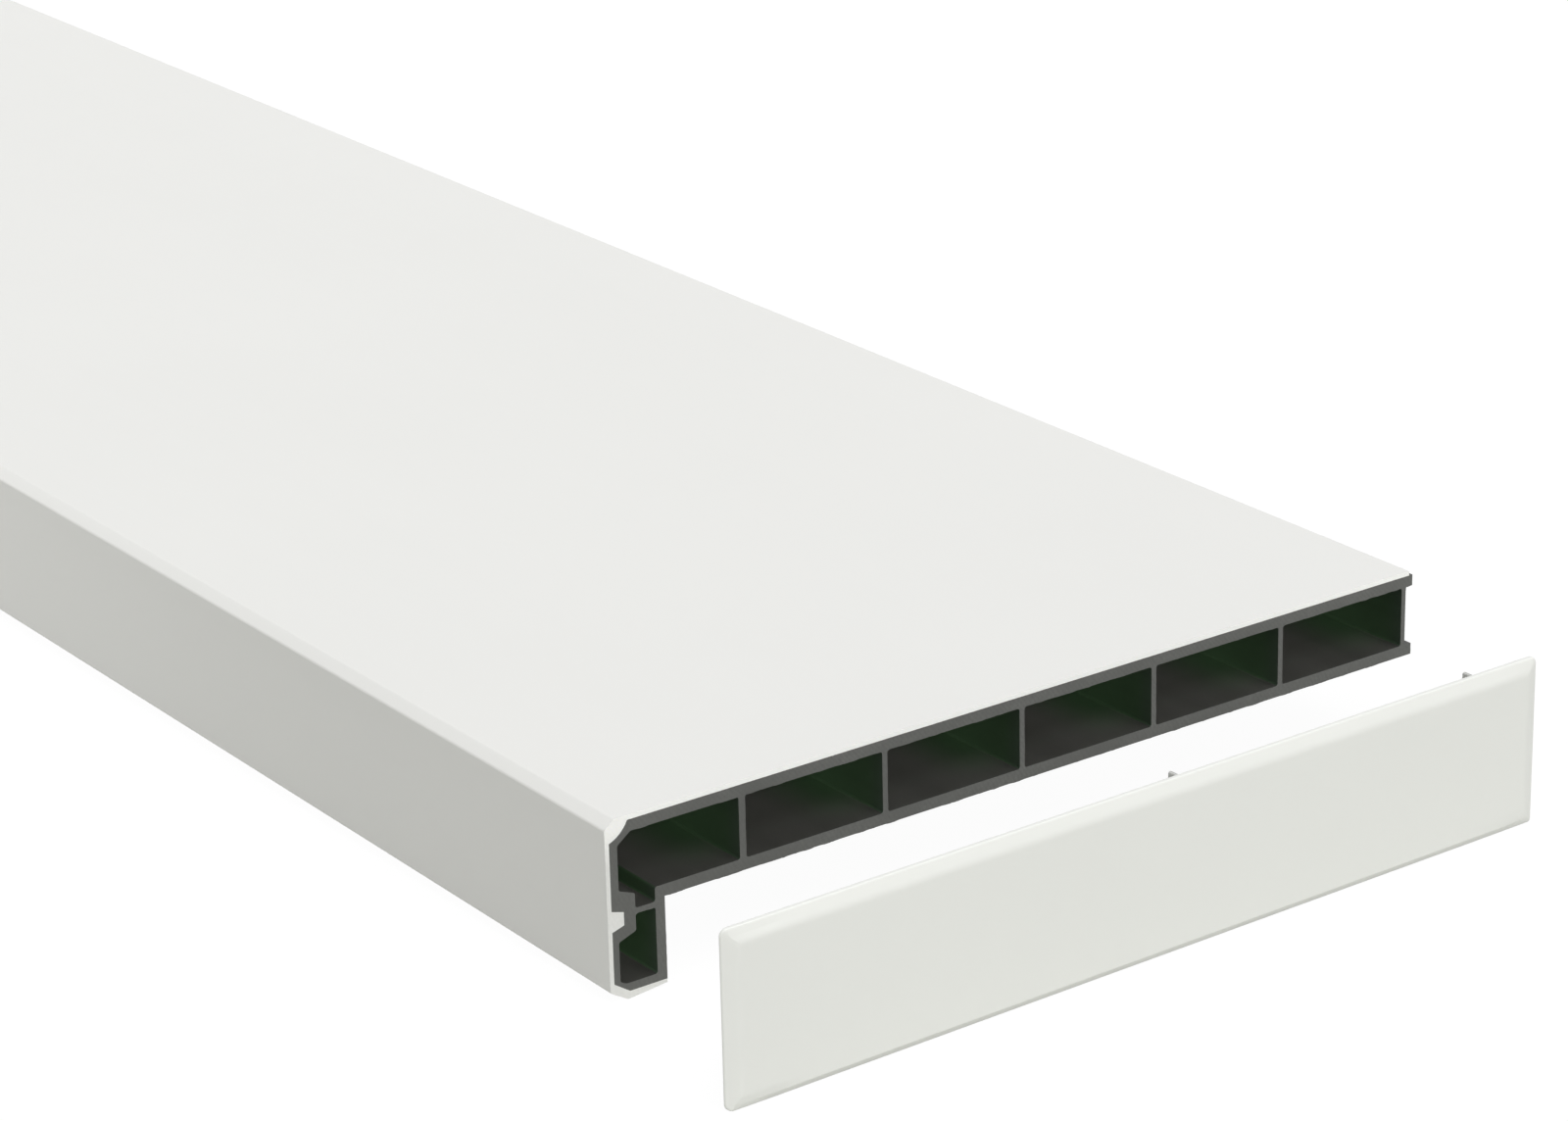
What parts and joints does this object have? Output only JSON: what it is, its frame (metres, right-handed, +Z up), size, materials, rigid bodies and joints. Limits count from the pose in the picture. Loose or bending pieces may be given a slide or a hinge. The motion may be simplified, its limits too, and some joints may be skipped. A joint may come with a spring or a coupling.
{
  "type": "window sill board",
  "caption": "Hollow-chamber plastic window sill board with a dark core, a white wrapped top and nose, a sawn open end and its loose plain end cap.",
  "frame": {"origin": "middle of the board's underside, the face that beds on the wall", "axes": "+X along the board towards the cut end with the cap, +Y from the room side to the window side, +Z up, out of the top surface"},
  "size_m": [1.0524, 0.2239, 0.04],
  "materials": {
    "dark_core": "matt dark grey hard plastic, as extruded, sawn at the ends",
    "white_skin": "satin white hard plastic, very finely grained",
    "white_cap": "satin white moulded plastic"
  },
  "bodies": {
    "root": {"core_profile": "dark_core", "white_skin": "white_skin", "end_cap": "white_cap"}
  },
  "joints": []
}
